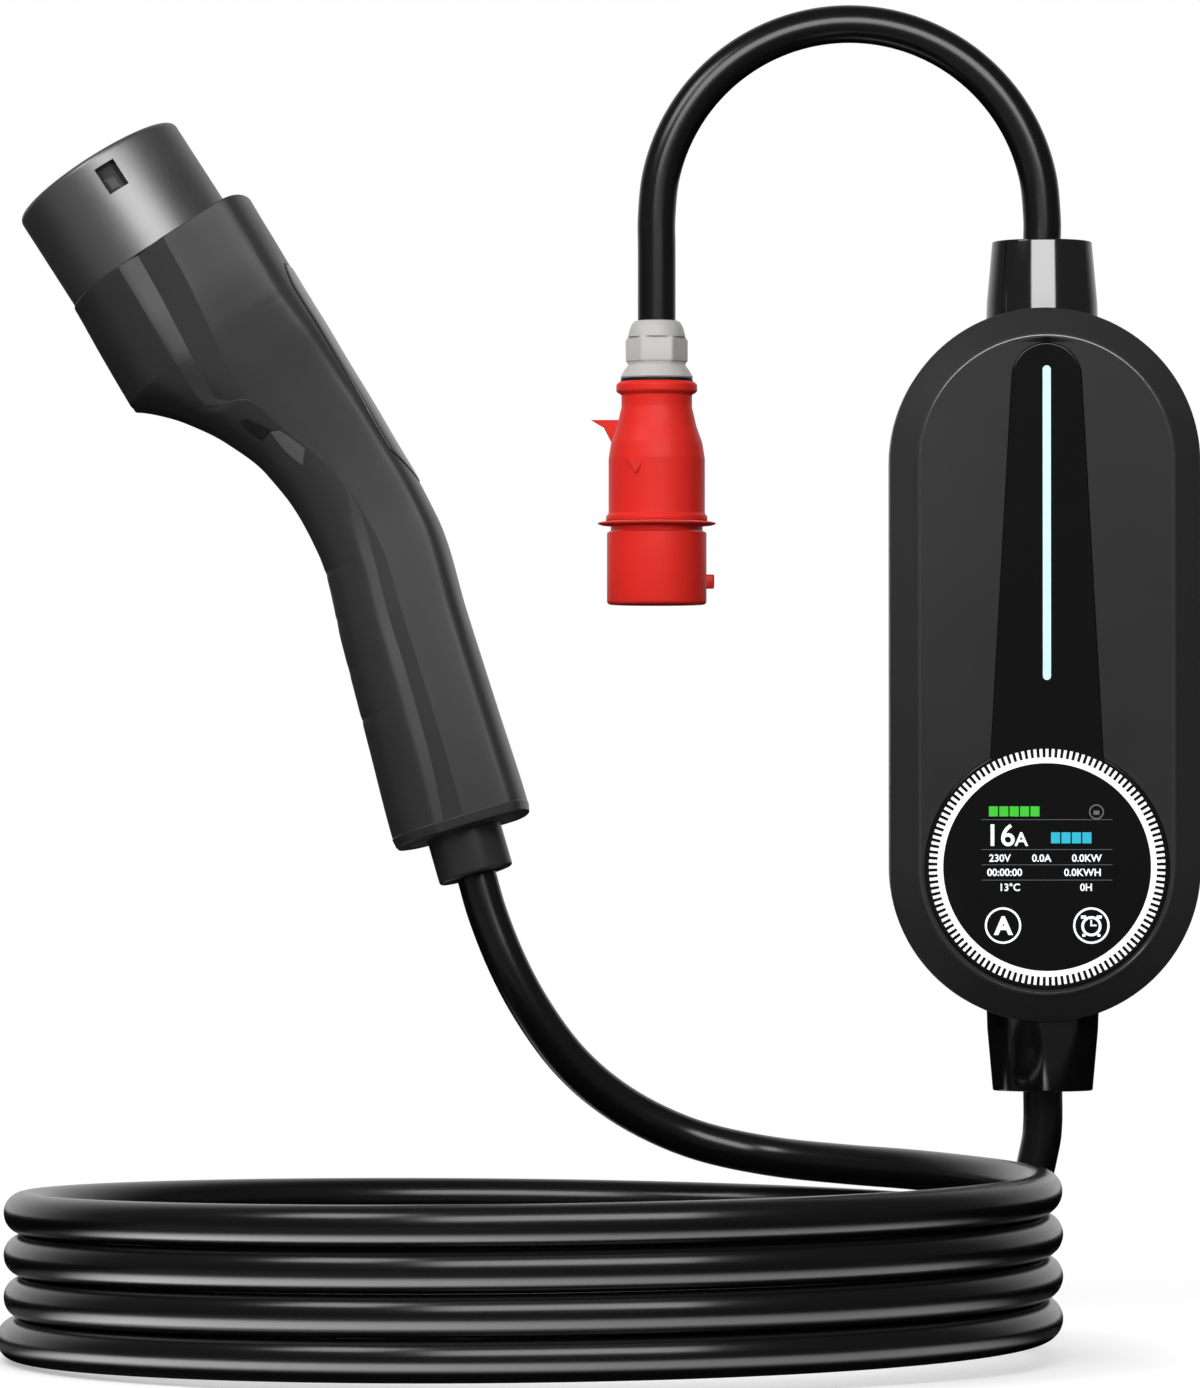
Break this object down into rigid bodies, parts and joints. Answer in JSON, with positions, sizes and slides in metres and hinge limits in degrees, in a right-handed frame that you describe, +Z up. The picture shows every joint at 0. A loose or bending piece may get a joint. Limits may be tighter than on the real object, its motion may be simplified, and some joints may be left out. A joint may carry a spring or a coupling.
{
  "type": "portable ev charger",
  "caption": "Wall-hung portable car charger: a round-ended control box with a dial display, a vehicle connector on a coiled lead and an industrial plug on a short supply lead.",
  "frame": {"origin": "midway between the two hanging slots, on the back face of the control box", "axes": "+Z up along the control box, +Y out of its back towards the wall, so its display looks along -Y"},
  "size_m": [0.3651, 0.3371, 0.4109],
  "materials": {
    "box_plastic": "fine moulded texture",
    "back_plastic": "fine moulded texture",
    "seal_rubber": "matt",
    "screw_steel": "zinc plated",
    "panel_black": "smooth gloss",
    "dial_white": "smooth",
    "light_white": "lit diffuser",
    "screen_black": "clear cover",
    "pad_copper": "bare",
    "board_green": "solder mask",
    "relay_blue": "moulded case",
    "sensor_black": "moulded case",
    "module_yellow": "taped winding",
    "capacitor_blue": "shrink sleeve",
    "terminal_green": "moulded",
    "gland_rubber": "satin",
    "nose_plastic": "satin",
    "insert_black": "moulded",
    "contact_silver": "silver plated",
    "grip_grey": "satin",
    "thumb_grey": "satin",
    "grip_dark": "fine moulded texture",
    "relief_rubber": "satin",
    "clamp_plastic": "moulded",
    "plug_red": "satin",
    "plug_black": "moulded",
    "nut_white": "moulded",
    "cable_black": "smooth satin jacket"
  },
  "bodies": {
    "root": {"box_front_cover": "box_plastic", "box_back_shell": "back_plastic", "box_gasket": "seal_rubber", "plug_gland_seal": "seal_rubber", "box_screws": "screw_steel", "board_screws": "screw_steel", "gun_screws": "screw_steel", "display_panel": "panel_black", "dial_ring": "dial_white", "light_bar": "light_white", "screen": "screen_black", "touch_pads": "pad_copper", "face_board": "board_green", "power_board": "board_green", "relays": "relay_blue", "leakage_sensor": "sensor_black", "supply_module": "module_yellow", "capacitors": "capacitor_blue", "terminal_blocks": "terminal_green", "upper_gland": "gland_rubber", "lower_gland": "gland_rubber", "gun_nose": "nose_plastic", "gun_insert": "insert_black", "gun_contacts": "contact_silver", "plug_pins": "contact_silver", "gun_front_ring": "grip_grey", "gun_upper_shell": "grip_grey", "gun_end_cap": "grip_grey", "gun_thumb_cover": "thumb_grey", "gun_lower_shell": "grip_dark", "gun_strain_relief": "relief_rubber", "gun_cable_clamp": "clamp_plastic", "plug_body": "plug_red", "plug_sleeve": "plug_red", "plug_pin_carrier": "plug_black", "plug_gland_nut": "nut_white", "gun_lead": "cable_black", "cable_coil": "cable_black", "box_lead": "cable_black", "supply_lead": "cable_black"}
  },
  "joints": []
}
